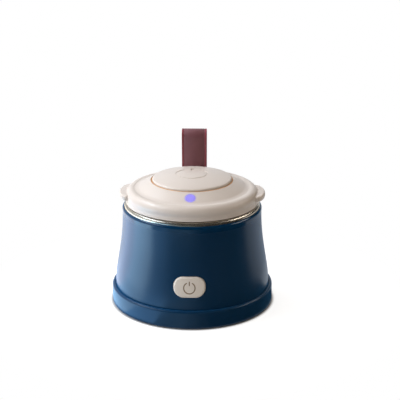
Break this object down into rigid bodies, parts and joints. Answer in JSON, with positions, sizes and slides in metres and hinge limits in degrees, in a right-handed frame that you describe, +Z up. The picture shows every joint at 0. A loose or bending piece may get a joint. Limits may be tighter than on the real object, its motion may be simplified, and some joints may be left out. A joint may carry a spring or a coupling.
{
  "type": "portable bottle warmer",
  "caption": "Battery bottle warmer: flared round base with a steel cup, press button, and a lift-off lamp lid with a domed push centre and a strap loop.",
  "frame": {"origin": "centre of the footprint, on the surface that the feet stand on", "axes": "+Z up along the turned axis of the body, the start button faces -Y, +X to the right of somebody looking at the button"},
  "size_m": [0.108, 0.108, 0.1054],
  "materials": {
    "navy_plastic": "satin soft-touch navy ABS, fine moulded grain",
    "cream_plastic": "fine matte cream ABS",
    "warm_grey_plastic": "fine matte warm grey ABS",
    "steel": "drawn and polished stainless steel",
    "copper_trim": "thin plated copper-gold ring",
    "violet_lens": "clear indicator lens, lit violet",
    "burgundy_leather": "burgundy faux leather with painted edges",
    "black_rubber": "matte moulded rubber",
    "silicone": "translucent white silicone",
    "aluminium_plate": "rolled aluminium",
    "heater_film": "amber polyimide film",
    "insulation_felt": "ceramic fibre felt",
    "black_plastic": "matte black glass-filled plastic",
    "cell_wrap": "shrink-wrapped lithium cell",
    "nickel": "nickel-plated metal or foil",
    "circuit_board": "green solder mask on glass epoxy",
    "quartz": "clear quartz disc",
    "led_package": "ceramic lamp package"
  },
  "bodies": {
    "base": {"base_tray": "navy_plastic", "foot_1": "black_rubber", "foot_2": "black_rubber", "foot_3": "black_rubber", "foot_4": "black_rubber", "base_screw_1": "steel", "base_screw_2": "steel", "base_screw_3": "steel", "base_screw_4": "steel", "outer_shell": "navy_plastic", "steel_cup": "steel", "cup_gasket": "silicone", "heater_plate": "aluminium_plate", "heater_element": "heater_film", "insulation_pad": "insulation_felt", "temperature_sensor": "black_plastic", "heater_carrier": "black_plastic", "cell_tray": "black_plastic", "cell_1": "cell_wrap", "cell_2": "cell_wrap", "cell_3": "cell_wrap", "cell_link_1": "nickel", "cell_link_2": "nickel", "control_board": "circuit_board", "charge_socket": "nickel", "button_board": "circuit_board", "button_switch": "black_plastic"},
    "start_button": {"start_button": "warm_grey_plastic", "button_plunger": "warm_grey_plastic"},
    "lid": {"lid_shell": "cream_plastic", "accent_ring": "copper_trim", "led_lens": "violet_lens", "lid_liner": "cream_plastic", "lid_seal": "silicone", "uv_window": "quartz", "uv_led_1": "led_package", "uv_led_2": "led_package", "uv_led_3": "led_package", "uv_board": "aluminium_plate", "lid_cell": "nickel", "lid_board": "circuit_board", "lid_switch": "black_plastic", "lid_screw_1": "steel", "lid_screw_2": "steel", "lid_screw_3": "steel", "strap_pin": "steel"},
    "lid_button": {"lid_button": "cream_plastic", "lid_plunger": "warm_grey_plastic"},
    "strap": {"strap": "burgundy_leather"}
  },
  "joints": [
    {"name": "start_button_press", "type": "slide", "parent": "base", "child": "start_button", "axis": [0, 1, 0], "range_m": [0, 0.0008], "stiffness_N_per_m": 1500, "springref_m": -0.0004},
    {"name": "lid_lift", "type": "slide", "parent": "base", "child": "lid", "axis": [0, 0, 1], "range_m": [0, 0.09]},
    {"name": "lid_button_press", "type": "slide", "parent": "lid", "child": "lid_button", "axis": [0, 0, -1], "range_m": [0, 0.0008], "stiffness_N_per_m": 1500, "springref_m": -0.0005},
    {"name": "strap_swing", "type": "hinge", "parent": "lid", "child": "strap", "pos_m": [0, 0.0482, 0.07305], "axis": [1, 0, 0], "range_deg": [-130, 5]}
  ]
}
